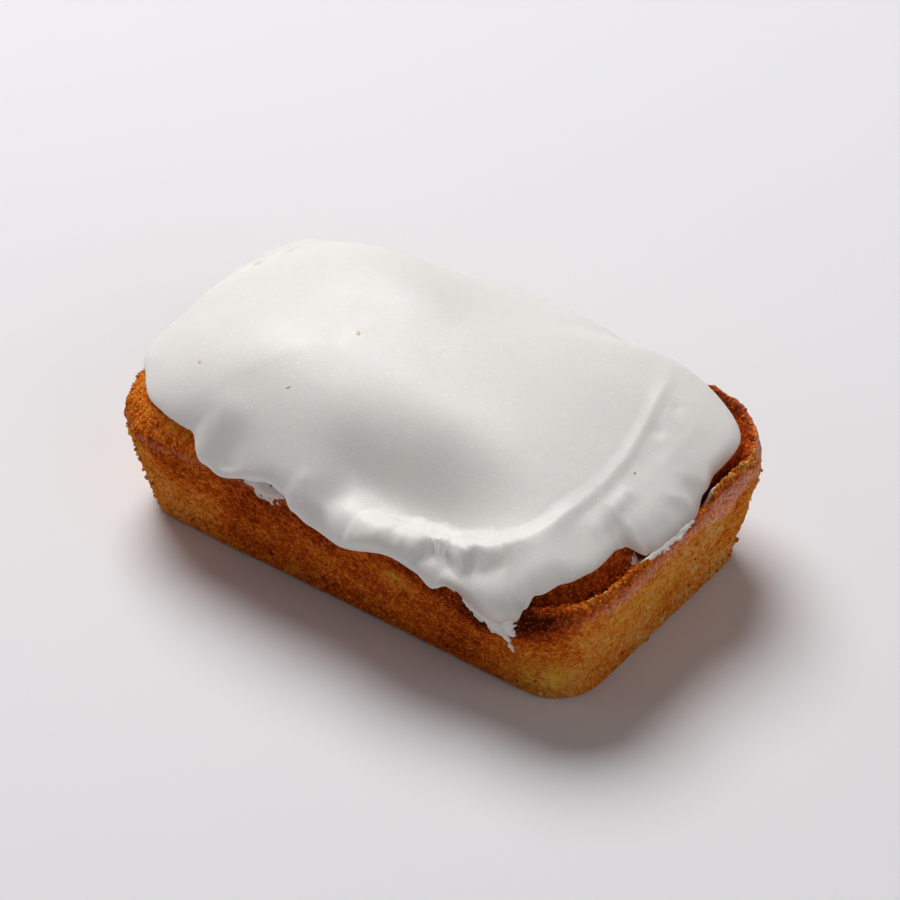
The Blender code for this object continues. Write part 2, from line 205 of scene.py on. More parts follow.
def makeGrain():  # rounded crumbs of a given size in mm, with creases between them
    group, nodes = newGroup("crumbGrain", {"Size": 0.6, "Sharpness": 1.0}, ["Height", "Crease", "Fleck"])
    take = nodes.add("NodeGroupInput").outputs
    place = nodes.add("ShaderNodeTexCoord").outputs["Object"]
    scale = nodes.math("DIVIDE", 1 / mm, take["Size"])
    warp = nodes.add("ShaderNodeTexNoise", Vector=place, Detail=2.0,
                     Scale=nodes.times(scale, grainShape["bendScale"]))
    bend = nodes.add("ShaderNodeVectorMath", {"operation": "MULTIPLY_ADD"})
    nodes.feed(bend.inputs[0], warp.outputs["Color"])
    nodes.feed(bend.inputs[1], (grainShape["bend"] * mm,) * 3)
    nodes.feed(bend.inputs[2], place)
    cells = nodes.add("ShaderNodeTexVoronoi", Vector=bend.outputs[0], Scale=scale)
    fine = nodes.add("ShaderNodeTexNoise", Vector=place, Detail=4.0, Roughness=0.65,
                     Scale=nodes.times(scale, grainShape["fineScale"]))
    crease = nodes.between(cells.outputs["Distance"], *grainShape["creaseSteps"])
    dome = nodes.math("SUBTRACT", 1.0, nodes.times(cells.outputs["Distance"], take["Sharpness"]))
    height = nodes.math("ADD", nodes.times(dome, grainShape["domeShare"]),
                        nodes.times(fine.outputs["Fac"], grainShape["fineShare"]))
    random = nodes.add("ShaderNodeSeparateColor", Color=cells.outputs["Color"]).outputs[0]
    fleck = nodes.times(nodes.between(random, *grainShape["fleckSteps"]), nodes.math("SUBTRACT", 1.0, crease))
    give = nodes.add("NodeGroupOutput")
    for socket, value in (("Height", height), ("Crease", crease), ("Fleck", fleck)):
        nodes.feed(give.inputs[socket], value)
    return group


mottle = makeMottle()
grain = makeGrain()


def newMaterial(name, look):  # with the constants of its shader and with its colours
    material = bpy.data.materials.new(name)
    material.use_nodes = True
    nodes = Nodes(material.node_tree)
    for socket, value in look["sockets"].items():
        nodes.put(socket, value)
    return material, nodes, {colour: display(*shades) for colour, shades in look["colours"].items()}


# Crust and icing colours

crustLook = {
    # patches: size, contrast, shift; steps: a mask's start and end, and its values there if not 0 and 1
    "colours": {
        "pale": (250, 194, 116), "gold": (244, 142, 44), "amber": (212, 94, 24), "brown": (152, 55, 14),
        "dark": (76, 25, 8), "panBand": (222, 146, 110), "panBandDark": (158, 82, 50),
        "lemonPatch": (255, 194, 74),
    },
    "bakeStops": {"pale": 0.0, "gold": 0.25, "amber": 0.48, "brown": 0.72, "dark": 1.0},
    "patches": {"coarse": (5.5, 2.2, 0.0), "middle": (1.5, 2.4, 3.0), "fine": (0.45, 2.6, 7.0)},
    # the crease swing paints the creases between the crumbs darker: painted shade
    "swings": {"coarse": 0.24, "middle": 0.26, "fine": 0.18, "crease": 0.2},
    "grainSize": 0.62, "grainSharpness": 1.1, "bumpHeight": 0.6, "fineBump": 0.5,
    "lemonSteps": (0.25, 0.6), "bandSteps": (0.35, 0.75), "panSteps": (0.2, 0.7, 0.15, 0.85),
    "fleckShare": 0.45, "crumbHighlightSteps": (0.7, 0.95, 0.0, 0.35), "roughSteps": (0.2, 0.8, 0.42, 0.78),
    "glintSteps": (0.72, 0.92, 0.0, 0.45), "panGloss": 0.45, "panSmoothing": 0.6,
    "sockets": {
        "Subsurface Weight": 0.2, "Subsurface Radius": (1.0, 0.35, 0.12), "Subsurface Scale": 0.6 * mm,
    },
}


def makeCrustMaterial():
    look = crustLook
    material, nodes, paint = newMaterial("bakedCrust", look)
    crumb = nodes.use(grain, Size=look["grainSize"], Sharpness=look["grainSharpness"]).outputs
    masks = {name: nodes.patches(*values) for name, values in look["patches"].items()}
    masks["crease"] = crumb["Crease"]
    # the stored tone is the bake with painted light on the ends and painted shade on the front wall and in
    # the gully
    tone = nodes.tone("bakeAndLight")
    for name, swing in look["swings"].items():
        tone = nodes.math("ADD", tone, nodes.times(nodes.math("SUBTRACT", masks[name], 0.5), swing))
    baked = nodes.ramp(tone, [(stop, paint[name]) for name, stop in look["bakeStops"].items()])
    lemon = nodes.times(nodes.tone("pale"), nodes.between(masks["middle"], *look["lemonSteps"]))
    baked = nodes.blend(lemon, baked, paint["lemonPatch"])
    streaks = nodes.between(masks["fine"], *look["bandSteps"])
    band = nodes.blend(streaks, paint["panBand"], paint["panBandDark"])
    pan = nodes.times(nodes.tone("pan"), nodes.between(masks["middle"], *look["panSteps"]))
    baked = nodes.blend(pan, baked, band)
    baked = nodes.blend(nodes.times(crumb["Fleck"], look["fleckShare"]), baked, paint["brown"])
    # the tops of the crumbs are painted lighter: a painted highlight
    baked = nodes.blend(nodes.between(crumb["Height"], *look["crumbHighlightSteps"]), baked, paint["pale"])
    nodes.put("Base Color", baked)
    nodes.put("Roughness", nodes.between(masks["fine"], *look["roughSteps"]))
    glint = nodes.between(crumb["Height"], *look["glintSteps"])
    gloss = nodes.times(nodes.tone("pan"), look["panGloss"])
    nodes.put("Specular IOR Level", nodes.math("ADD", glint, gloss))
    height = nodes.math("ADD", crumb["Height"], nodes.times(masks["fine"], look["fineBump"]))
    smoothing = nodes.times(nodes.tone("pan"), look["panSmoothing"])
    nodes.bump(look, height, nodes.math("SUBTRACT", 1.0, smoothing))
    return material


icingLook = {
    "colours": {
        "icing": (235, 232, 229), "thinTint": (202, 178, 168), "grease": (229, 224, 217),
        "glintingSugar": (252, 251, 249),
    },
    "patches": (9.0, 1.5, 1.0), "greaseShare": 0.35, "glintingSugarShare": 0.6, "roughSteps": (0.2, 0.8, 0.36, 0.54),
    "grainSize": 0.3, "grainSharpness": 0.9, "bumpHeight": 0.05, "bumpStrength": 0.6,
    "sockets": {
        "Subsurface Weight": 0.2, "Subsurface Radius": (1.0, 0.85, 0.65), "Subsurface Scale": 0.9 * mm,
        "Specular IOR Level": 0.4,
    },
}


def makeIcingMaterial():
    look = icingLook
    material, nodes, paint = newMaterial("whiteIcing", look)
    cloud = nodes.patches(*look["patches"])
    glintingSugar = nodes.use(grain, Size=look["grainSize"], Sharpness=look["grainSharpness"]).outputs
    colour = nodes.blend(nodes.times(cloud, look["greaseShare"]), paint["icing"], paint["grease"])
    # random sugar specks are painted brighter than the icing: painted glints
    colour = nodes.blend(nodes.times(glintingSugar["Fleck"], look["glintingSugarShare"]), colour, paint["glintingSugar"])
    nodes.put("Base Color", nodes.blend(nodes.tone("thin"), colour, paint["thinTint"]))
    nodes.put("Roughness", nodes.between(cloud, *look["roughSteps"]))
    nodes.bump(look, glintingSugar["Height"], look["bumpStrength"])
    return material


# Shape of the loaf. A place on its skin is an angle round the middle, from +X towards +Y, and a reach:
# below 0 on the dome, 0 at the rim, above 0 down the wall and under the base.

loaf = {
    "rimLength": 96, "rimWidth": 64, "rimHeight": 22.6, "rimCorner": 15.4, "rimRound": 0.9,
    "baseLength": 86.8, "baseWidth": 49.8, "baseCorner": 8, "baseRound": 1.8,
    "domeRise": 14, "leftRise": 0.42, "levelLeft": 20, "levelBack": 26,
    "domeFullness": 2.45, "backSlump": 0.45, "endFullness": 0.5,
    # angle, depth, half width
    "rimSags": (
        (-148, 2.6, 20), (-47, 2.4, 8), (-30, 1.2, 11), (31, 1.8, 8), (56, 3.0, 10), (92, -0.7, 18),
        (131, 1.0, 20), (141, 4.2, 13),
    ),
    "sagFalloff": 4,
    # where the dome sinks or, below 0, swells: middle, depth, half length, half width, turn in degrees
    "domeDips": (
        ((17, -23), 6.0, 13, 7.4, 5), ((3, -24.4), 1.7, 7, 3.8, 0),
        ((-43, -5), -2.2, 6, 9, 0), ((-18, 6), -1.0, 17, 8, 0), ((-25, 25), 2.4, 12, 6, 15),
    ),
    "dipFade": 2.2,
    # from, to, lip height, gully depth
    "lipRuns": ((-46, -24, 0.4, 1.9), (-24, 52, 1.3, 2.1), (62, 98, 0.5, 0.6), (126, 168, 0.9, 0.9)),
    "lipFade": 5, "lipPlace": -0.7, "lipWidth": 1.1, "gullyPlace": -2.9, "gullyWidth": 1.1,
    "flapRun": (8, 21, 1.5), "flapPlace": -0.3, "flapWidth": 0.9, "flapHeight": 1.9, "flapLean": 0.8,
    # rings of points, closer together on the lip and where the photograph looks closest
    "segments": 1000, "domeRings": 7, "lipRings": 36, "wallRings": 44, "footRings": 6, "baseRings": 4,
    "domeEdge": 8, "domeSpacing": 0.8, "lipTop": -7.8, "lipFoot": 1, "closest": (-15, 60), "closeness": 0.5,
    "rimSteps": 7201,  # angles at which the way round the rim is measured
}
halfLength, halfWidth = loaf["rimLength"] / 2, loaf["rimWidth"] / 2


def outline(angle, longHalf, shortHalf, corner):  # from the middle to the edge of a rounded rectangle
    along, across = np.abs(np.cos(angle)), np.abs(np.sin(angle))
    straight = np.minimum(longHalf / np.maximum(along, 1e-9), shortHalf / np.maximum(across, 1e-9))
    centreX, centreY = longHalf - corner, shortHalf - corner
    middle = along * centreX + across * centreY
    room = middle ** 2 - (centreX ** 2 + centreY ** 2 - corner ** 2)
    rounded = middle + np.sqrt(np.maximum(room, 0))
    inCorner = (rounded * along > centreX) & (rounded * across > centreY) & (room > 0)
    return np.where(inCorner, rounded, straight)


def soft(value):  # 0 below 0 and the value itself above, with a rounded bend
    return loaf["rimRound"] * np.logaddexp(0, value / loaf["rimRound"])


def turnFrom(angle, centre):  # degrees from centre to angle, the short way round
    return (np.degrees(angle) - centre + 180) % 360 - 180


def hump(angle, centre, width):
    return np.exp(-(turnFrom(angle, centre) / width) ** 2)


def bell(value, middle, width):
    return np.exp(-((value - middle) / width) ** 2)


def ease(value):
    value = np.clip(value, 0, 1)
    return value * value * (3 - 2 * value)


def arc(angle, start, end, fade):  # 1 between two angles and 0 outside them
    half = (end - start) / 2
    return ease((half + fade - np.abs(turnFrom(angle, start + half))) / (2 * fade))


def band(angle, reach, row):  # a strip along the rim: from and to angle, fade, reach, half width, strength
    start, end, fade, level, width, strength = row
    return strength * arc(angle, start, end, fade) * bell(reach, level, width)


def spun(x, y, degrees):  # a place turned round the origin
    c, s = np.cos(np.radians(degrees)), np.sin(np.radians(degrees))
    return x * c - y * s, x * s + y * c


def domeDip(x, y):
    total = 0
    for (middleX, middleY), depth, length, width, turn in loaf["domeDips"]:
        ahead, aside = spun(x - middleX, y - middleY, -turn)
        total = total + depth * np.exp(-(ahead / length) ** 2 - (aside / width) ** 2)
    return total


def skin(angle, reach):  # radius and height of the smooth loaf
    rimHeight, baseRound = loaf["rimHeight"], loaf["baseRound"]
    depth = np.minimum(soft(-reach), halfWidth)
    drop = soft(np.clip(reach, None, rimHeight - baseRound))
    share = depth / halfWidth
    lengthHere = halfLength - depth * (1 + (halfLength / halfWidth - 1) * share ** 2)
    inner = outline(angle, lengthHere, halfWidth - depth, loaf["rimCorner"] * (1 - share))
    rim = outline(angle, halfLength, halfWidth, loaf["rimCorner"])
    base = outline(angle, loaf["baseLength"] / 2, loaf["baseWidth"] / 2, loaf["baseCorner"])
    sag = sum(deep * hump(angle, centre, width) for centre, deep, width in loaf["rimSags"])
    sag = sag * (inner / rim) ** loaf["sagFalloff"]
    fullness = loaf["domeFullness"] - loaf["backSlump"] * np.sin(angle)
    fullness = fullness + loaf["endFullness"] * np.cos(angle) ** 2
    ahead = inner * np.cos(angle) * ease((loaf["levelBack"] - inner * np.sin(angle)) / loaf["levelBack"])
    level = loaf["levelLeft"]
    climb = np.where(ahead > 0, ahead, level * (np.exp(np.minimum(ahead, 0) / level) - 1))
    lean = 1 - loaf["leftRise"] * climb / halfLength
    rise = loaf["domeRise"] * lean * (1 - (inner / rim) ** fullness)
    turn = np.clip((reach - rimHeight + baseRound) / baseRound, 0, 1) * np.pi / 2
    under = np.clip((reach - rimHeight) / halfWidth, 0, 1)
    radius = inner - (rim - base) * drop / rimHeight - baseRound * (1 - np.cos(turn))
    height = (rimHeight - drop) * (1 - sag / rimHeight) + rise - (baseRound - soft(0)) * np.sin(turn)
    dip = domeDip(radius * np.cos(angle), radius * np.sin(angle))
    height = height - dip * (1 - np.exp(-(depth / loaf["dipFade"]) ** 2))
    height = np.where(turn > 0, baseRound * (1 - np.sin(turn)), height)
    return radius * (1 - under), height


def place(angle, radius, height):
    return np.stack([radius * np.cos(angle), radius * np.sin(angle), height], axis=-1)


def outward(angle, reach):  # square to the smooth skin
    step, turn, most = 0.05, 0.002, halfWidth - 0.5
    reach = np.clip(reach, -most, loaf["rimHeight"] + most)
    across = place(angle, *skin(angle, reach + step)) - place(angle, *skin(angle, reach - step))
    along = place(angle + turn, *skin(angle + turn, reach)) - place(angle - turn, *skin(angle - turn, reach))
    normal = np.cross(across, along)
    return normal / np.linalg.norm(normal, axis=-1, keepdims=True)


def lumps(points, size, seed):  # smooth noise, about -1 to 1
    shift = Vector((seed * 7.3, seed * 3.1, seed * 5.7))
    return np.array([noise.noise(Vector(point) / size + shift) for point in points.tolist()])


def crumbs(points, size, seed):  # rounded crumbs with creases between them, about -1 to 1
    shift = Vector((seed * 4.7, seed * 8.9, seed * 2.3))
    return np.array([1 - 2 * noise.voronoi(Vector(point) / size + shift)[0][0] for point in points.tolist()])


# Outline and relief of the icing

icing = {
    "thickness": 2.1, "edgeWidth": 2.2, "featherWidth": 6, "edgeOverhang": 0.5, "sink": 0.35,
    "clear": 1.2, "clearTurn": 2,
    # the edge: angle in degrees, reach in mm
    "turns": (
        (-178, -0.6), (-160, -2.2), (-151, -3.9), (-142, -3.6), (-133, -2.8), (-126, 0.0), (-121.5, 0.7),
        (-114, -0.3), (-108, -1.0), (-103, -0.6), (-98, 1.0), (-92, 2.0), (-82.5, 3.0),
        (-65, 0.6), (-58.5, 1.0), (-55, 2.0), (-51.8, 0.2), (-49, 0.4), (-42.5, 3.0), (-39.8, 1.4),
        (-38.2, -0.8), (-35.7, -2.6), (-30, -4.0), (-25, -4.4), (-17.5, -5.0), (-15, -4.5), (-11.6, -1.5),
        (-8, -0.5), (-3, -0.3), (3, -0.5), (9, -2.4),
        (14, -3.2), (23, -3.4), (40, -6.4), (58, -2.4), (74, 0.6), (85, -1.2), (99, 1.8), (112, -0.6),
        (123, 0.8), (139, -1.4), (152, -3.2), (166, -1.2),
    ),
    "feathers": ((-52, -38), (-17, 8), (-182, -165)), "featherFade": 3, "featherRounding": 1.8,
    "thinBelow": 0.9,
    # from, to, extra width of the rounded edge
    "softEdges": ((-62, -14, 3.0), (-150, -112, 2.2), (-104, -84, 1.5)), "softFade": 5,
    # how far round the edge turns, in degrees, and the sheet under it
    "edgeTurn": 150, "tuck": 0.8, "underStart": 0.4, "underStep": 5, "underLift": 0.1, "closingDepth": 1.5,
    # the roll that the spreading knife left, seen from above: x, y, height, width of its flat top, of its
    # inner and of its outer slope, how far the icing beyond it is pressed down, raggedness
    "knifeRoll": (
        (6, -31.8, 0.25, 0.3, 3.0, 1.0, 0.0, 0.3), (7.2, -32.1, 0.7, 0.6, 4.4, 1.2, 0.5, 0.6),
        (9, -32.3, 1.0, 0.8, 5.4, 1.3, 0.9, 0.9), (12, -31.8, 1.15, 0.8, 6.0, 1.5, 1.1, 1.0),
        (15.5, -31.0, 1.35, 0.8, 6.0, 1.6, 1.2, 1.0), (18.2, -29.2, 1.5, 0.6, 5.6, 1.8, 1.2, 1.0),
        (21.0, -28.0, 1.7, 0.4, 5.2, 1.9, 1.2, 1.0), (24.2, -27.3, 1.75, 0.3, 4.6, 2.0, 1.4, 0.7),
        (27.2, -26.3, 1.6, 0.2, 4.2, 2.1, 1.4, 0.4), (30.2, -25.0, 1.1, 0.1, 3.6, 3.0, 0.6, 0.2),
        (33.6, -20.4, 0.6, 0.0, 2.8, 3.4, 0.1, 0.1), (34.9, -13.8, 0.42, 0.0, 2.4, 1.8, 0.0, 0.1),
        (35.2, -7.2, 0.36, 0.0, 2.0, 1.6, 0.0, 0.1), (34.5, 0.6, 0.32, 0.0, 1.8, 1.6, 0.0, 0.1),
        (32.5, 10.3, 0.30, 0.0, 1.8, 1.6, 0.0, 0.1), (30.6, 17, 0.25, 0.0, 1.8, 1.8, 0.0, 0.1),
        (28.8, 21, 0.1, 0.0, 2.2, 2.2, 0.0, 0.1),
    ),
    "rollSteps": 240, "rollSlope": 1.4,
    # noise of the roll's sides and of its height, and the icing's own waves: size, strength, seed
    "rollSides": ((2.2, 1.0, 3), (0.9, 0.3, 8)), "rollSwell": ((3.5, 0.2, 4),),
    "waves": ((15, 0.12, 5), (6, 0.05, 6), (1.8, 0.015, 7)),
    # start, end, height, half width; below 0 it is a groove
    "smallRidges": (
        ((39.3, -13.6), (38.6, -5.2), 0.42, 1.2), ((40.6, -13), (40.4, -8.5), -0.25, 1.2),
        ((43.5, 1.2), (45.5, 2.8), 0.4, 0.9), ((45.5, 2.8), (48, 3.2), 0.4, 0.9),
        ((44, -1), (46.4, 0.8), -0.35, 1.2), ((38.9, 4.6), (38.5, 13.6), 0.07, 1.0),
        ((36.8, -2), (37, 5.5), -0.12, 1.6), ((-46, 3), (-43, 11), 0.5, 1.3),
        ((-43, 11), (-39, 17), 0.5, 1.3), ((-44.6, 0.5), (-41.6, 7), -1.0, 1.0),
        ((-41.6, 7), (-38.6, 12), -0.7, 0.9), ((-38.6, 12), (-34.5, 16), -0.6, 0.9),
    ),
    "ridgeSteps": 60,
    # middle, depth, half length along X, half width along Y
    "hollows": (
        ((-18.5, -29.6), 2.1, 3.6, 2.3), ((-21, -26.2), -0.6, 4.5, 2.6), ((-4.1, -28.9), -0.25, 1.3, 1.1),
        ((0.8, -30), 1.2, 2.8, 3.2), ((35, 8.7), 0.25, 1.1, 1.5), ((34.6, 14.4), 0.2, 1.1, 1.3),
        ((44.9, 6.8), 0.5, 2.4, 2.8), ((39, -19), 0.4, 2.6, 4), ((37.5, -24), -0.9, 4.5, 4),
    ),
    "upright": 2.5,  # how deep on the dome the relief stands upright instead of square to the skin
    "rings": 142, "edgeRings": 16, "underRings": 3,
}


def icingEdge(angle):  # reach of the icing's edge, easing from each turn to the next
    turns = sorted(icing["turns"])
    stations = np.array([turns[-1][0] - 360] + [turn[0] for turn in turns] + [turns[0][0] + 360])
    reaches = np.array([turns[-1][1]] + [turn[1] for turn in turns] + [turns[0][1]])
    degrees = (np.degrees(angle) + 180) % 360 - 180
    after = np.clip(np.searchsorted(stations, degrees), 1, len(stations) - 1)
    share = (degrees - stations[after - 1]) / (stations[after] - stations[after - 1])
    return reaches[after - 1] + (reaches[after] - reaches[after - 1]) * ease(share)


def bare(angle, reach):  # 1 where the crust is bare, 0 under the icing and close beside it
    beside = np.radians(icing["clearTurn"])
    edge = np.maximum(icingEdge(angle - beside), icingEdge(angle + beside))
    return ease((reach - np.maximum(edge, icingEdge(angle))) / icing["clear"])


# The crust

crustRelief = {
    "seed": 11, "cragHeight": 0.4, "cragSize": 3.2, "cragFade": 4, "underIcing": 0.35,
    "dentDepth": 0.5, "dentSize": 14, "dentTop": 2, "dentFoot": 3,
    # crumbs: size, height, more height on the lip, more height on the wall of the left end
    "layers": ((1.7, 0.17, 0.20, 0.12), (0.85, 0.14, 0.08, 0.0)), "gritSize": 0.6, "gritHeight": 0.12,
    "lipPlace": -0.6, "lipWidth": 1.6, "lipLeast": 0.3, "endRun": (-215, -138, 8), "endTop": -1, "endFade": 3,
    "footFade": 2, "panSmoothing": 0.75, "raggedness": 0.35, "raggedSize": 2.2,
}

# smooth purple brown crust that lay against the tin just under the rim
panSkin = {
    # the second band gives the lip beyond the flap the glossy pan skin; its lighter pan colour there is
    # partly a painted reflection of the window
    "bands": ((-27, 52, 8, 1.6, 1.0, 1.0), (24, 50, 4, -0.1, 1.1, 0.9), (-182, -60, 8, 0.5, 0.4, 0.35)),
    # the face under the torn flap
    "flapMiddle": 13, "flapHalf": 8.5, "flapDrop": 5.0, "footFade": 0.6, "flapTop": 0.2, "topFade": 0.4,
}

bakeAndLightTones = {
    "middle": 0.47, "patchSize": 9, "patchSwing": 0.12, "patchSeed": 31,
    # walls: from and to angle, fade, reach where it starts, depth of its fade, change
    # the first, third and fourth rows paint the ends lighter where the lamps light them (painted light), the
    # second paints the front wall darker in its shade (painted shade)
    "walls": (
        (-34, 30, 10, 0, 3, -0.20), (-128, -40, 10, 0, 3, 0.06), (-222, -138, 12, 0, 4, -0.22),
        (-200, -128, 6, 0.5, -1.5, -0.14),
    ),
    # the first of these bands goes all round
    "bands": (
        # the third band lightens the lip's crest, golden crust partly with a painted highlight; the fourth
        # darkens the front right corner below the lip
        (-200, 200, 8, 1.5, 2.5, 0.08), (-122, -30, 8, 1.5, 3.4, 0.14), (-34, 56, 6, -0.7, 0.8, -0.14),
        (-50, -33, 6, 2.2, 4.4, 0.38),
    ),
    "gullyShade": 0.22, "gullyDepth": 2.1, "gullyWidth": 1.8,
    "flapChange": -0.12, "flapTop": 0.3, "flapFade": 0.5,
    # pale patches: angle, half turn, reach, half width, strength
    "pale": (
        (-33, 5, 17.5, 4.2, 1.0), (-66, 4, 7.5, 1.8, 0.6), (-14, 9, 7, 1.6, 0.55), (-5, 10, 11, 1.5, 0.4),
    ),
}


def flapShape(angle, reach):  # the torn flap of crust: 1 along its crest
    return arc(angle, *loaf["flapRun"]) * bell(reach, loaf["flapPlace"], loaf["flapWidth"])


def runs(angle, entry):  # the lip's height or the gully's depth along the rim
    return sum(run[entry] * arc(angle, run[0], run[1], loaf["lipFade"]) for run in loaf["lipRuns"])


def panMask(angle, reach):
    look = panSkin
    across = turnFrom(angle, look["flapMiddle"]) / look["flapHalf"]
    flapFoot = look["flapDrop"] * np.sqrt(np.clip(1 - across ** 2, 0, 1))
    flapFace = ease((flapFoot - reach) / look["footFade"]) * ease((reach - look["flapTop"]) / look["topFade"])
    strips = [band(angle, reach, row) for row in look["bands"]]
    return np.clip(np.max([*strips, flapFace * (flapFoot > 0)], axis=0), 0, 1)


def crustPoint(angle, reach, fineness=1):
    look, seed = crustRelief, crustRelief["seed"]
    smooth = place(angle, *skin(angle, reach))
    uncovered = bare(angle, reach)
    aboveFoot = loaf["rimHeight"] - reach
    onWall = ease(reach / look["dentTop"]) * ease((aboveFoot - loaf["baseRound"]) / look["dentFoot"])
    onLip = look["lipLeast"] + (1 - look["lipLeast"]) * ease(runs(angle, 2))
    onLip = onLip * bell(reach, look["lipPlace"], look["lipWidth"])
    onEnd = arc(angle, *look["endRun"]) * ease((reach - look["endTop"]) / look["endFade"])
    raised = look["cragHeight"] * lumps(smooth, look["cragSize"], seed) * ease(aboveFoot / look["cragFade"])
    raised = raised * (look["underIcing"] + (1 - look["underIcing"]) * uncovered)
    raised = raised + look["dentDepth"] * lumps(smooth, look["dentSize"], seed + 1) * onWall * uncovered
    rough = (1 - look["panSmoothing"] * panMask(angle, reach)) * ease(aboveFoot / look["footFade"]) * fineness
    for layer, (size, height, moreOnLip, moreOnEnd) in enumerate(look["layers"]):
        height = height + moreOnLip * onLip + moreOnEnd * onEnd
        raised = raised + rough * height * crumbs(smooth, size, seed + 2 + layer)
    raised = raised + rough * look["gritHeight"] * lumps(smooth, look["gritSize"], seed + 4)
    point = smooth + outward(angle, reach) * raised[:, None]
    ragged = 1 + look["raggedness"] * lumps(smooth, look["raggedSize"], seed + 5)
    lip = runs(angle, 2) * bell(reach, loaf["lipPlace"], loaf["lipWidth"])
    flap = flapShape(angle, reach)
    gully = runs(angle, 3) * bell(reach, loaf["gullyPlace"], loaf["gullyWidth"])
    point[:, 2] += (lip + loaf["flapHeight"] * flap) * ragged * uncovered - gully
    point[:, 0] += loaf["flapLean"] * flap
    point[reach >= loaf["rimHeight"], 2] = 0
    return point


def rimTravel(start, closeness=0):  # angles all round the rim from start, and the way travelled to each
    fine = np.linspace(start, start + 2 * np.pi, loaf["rimSteps"])
    rim = place(fine, outline(fine, halfLength, halfWidth, loaf["rimCorner"]), 0 * fine)
    density = 1 + closeness * hump(fine, *loaf["closest"])
    steps = np.linalg.norm(np.diff(rim, axis=0), axis=1) * (density[1:] + density[:-1]) / 2
    return fine, np.concatenate([[0], np.cumsum(steps)])


def evenAngles(count):  # angles that cut the rim into pieces of nearly equal length
    fine, travelled = rimTravel(-np.pi, loaf["closeness"])
    return np.interp(np.arange(count) / count * travelled[-1], travelled, fine)


def crustTones(angle, reach):  # how far the crust is baked, from 0 pale to 1 dark, with painted light and shade on its walls and in its gully, and its patches
    look = bakeAndLightTones
    smooth = place(angle, *skin(angle, reach))
    bakeAndLight = look["middle"] + look["patchSwing"] * lumps(smooth, look["patchSize"], look["patchSeed"])
    for start, end, fade, top, depth, change in look["walls"]:
        bakeAndLight = bakeAndLight + change * arc(angle, start, end, fade) * ease((reach - top) / depth)
    bakeAndLight = bakeAndLight + sum(band(angle, reach, row) for row in look["bands"])
    # the gully is painted darker: painted shade in the groove under the icing's edge
    gully = runs(angle, 3) / look["gullyDepth"] * bell(reach, loaf["gullyPlace"], look["gullyWidth"])
    bakeAndLight = bakeAndLight + look["gullyShade"] * np.clip(gully, 0, 1)
    crest = flapShape(angle, reach) * ease((look["flapTop"] - reach) / look["flapFade"])
    bakeAndLight = bakeAndLight + look["flapChange"] * crest
    pale = np.max([strength * hump(angle, centre, turn) * bell(reach, level, size)
                   for centre, turn, level, size, strength in look["pale"]], axis=0)
    return {"bakeAndLight": np.clip(bakeAndLight, 0, 1), "pan": panMask(angle, reach), "pale": pale}


def newMesh(name, count, faces):
    mesh = bpy.data.meshes.new(name)
    mesh.from_pydata(np.zeros((count, 3)), [], faces)
    return mesh


def showPiece(mesh, points, tones, material, replaced=None):  # named after its mesh
    mesh.vertices.foreach_set("co", (np.asarray(points) * mm).astype(np.float32).ravel())
    mesh.update()
    mesh.shade_smooth()
    for name, values in tones.items():
        layer = mesh.attributes.new(name, "FLOAT", "POINT")
        layer.data.foreach_set("value", np.asarray(values, np.float32))
    mesh.materials.append(material)
    piece = newObject(mesh.name, mesh)
    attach(piece, "root")
    if replaced:
        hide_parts(replaced)
    print(mesh.name, "made with", len(mesh.polygons), "faces")
    return piece


def closedShell(name, rings, segments):  # rings of quads between two middles; each point's ring and segment
    turn = np.arange(segments)
    after = (turn + 1) % segments
    starts = 1 + segments * np.arange(rings - 1)[:, None]
    first, beside = starts + turn, starts + after
    quads = np.stack([first, first + segments, beside + segments, beside], axis=-1).reshape(-1, 4)
    last = rings * segments + 1
    top = np.stack([0 * turn, 1 + turn, 1 + after], axis=-1)
    foot = np.stack([0 * turn + last, last - segments + after, last - segments + turn], axis=-1)
    mesh = newMesh(name, last + 1, [*top.tolist(), *quads.tolist(), *foot.tolist()])
    ring = np.concatenate([[0], np.repeat(np.arange(1, rings + 1), segments), [rings + 1]])
    segment = np.concatenate([[0], np.tile(turn, rings), [0]])
    return mesh, ring, segment


def makeCrust(material):
    foot, edge = loaf["lipFoot"], loaf["rimHeight"] - loaf["baseRound"]
    spread = np.linspace(0, 1, loaf["domeRings"]) ** loaf["domeSpacing"]
    stations = np.concatenate([
        -halfWidth + (halfWidth - loaf["domeEdge"]) * spread,
        np.linspace(loaf["lipTop"], foot, loaf["lipRings"]),
        foot + (edge - foot) * np.linspace(0, 1, loaf["wallRings"] + 1)[1:],
        loaf["rimHeight"] - loaf["baseRound"] * np.linspace(1, 0, loaf["footRings"] + 1)[1:],
        loaf["rimHeight"] + halfWidth * np.linspace(0, 1, loaf["baseRings"] + 1)[1:],
    ])
    mesh, ring, segment = closedShell("crustLoaf", len(stations) - 2, loaf["segments"])
    angle, reach = evenAngles(loaf["segments"])[segment], stations[ring]
    return showPiece(mesh, crustPoint(angle, reach), crustTones(angle, reach), material, "cake")


# The icing

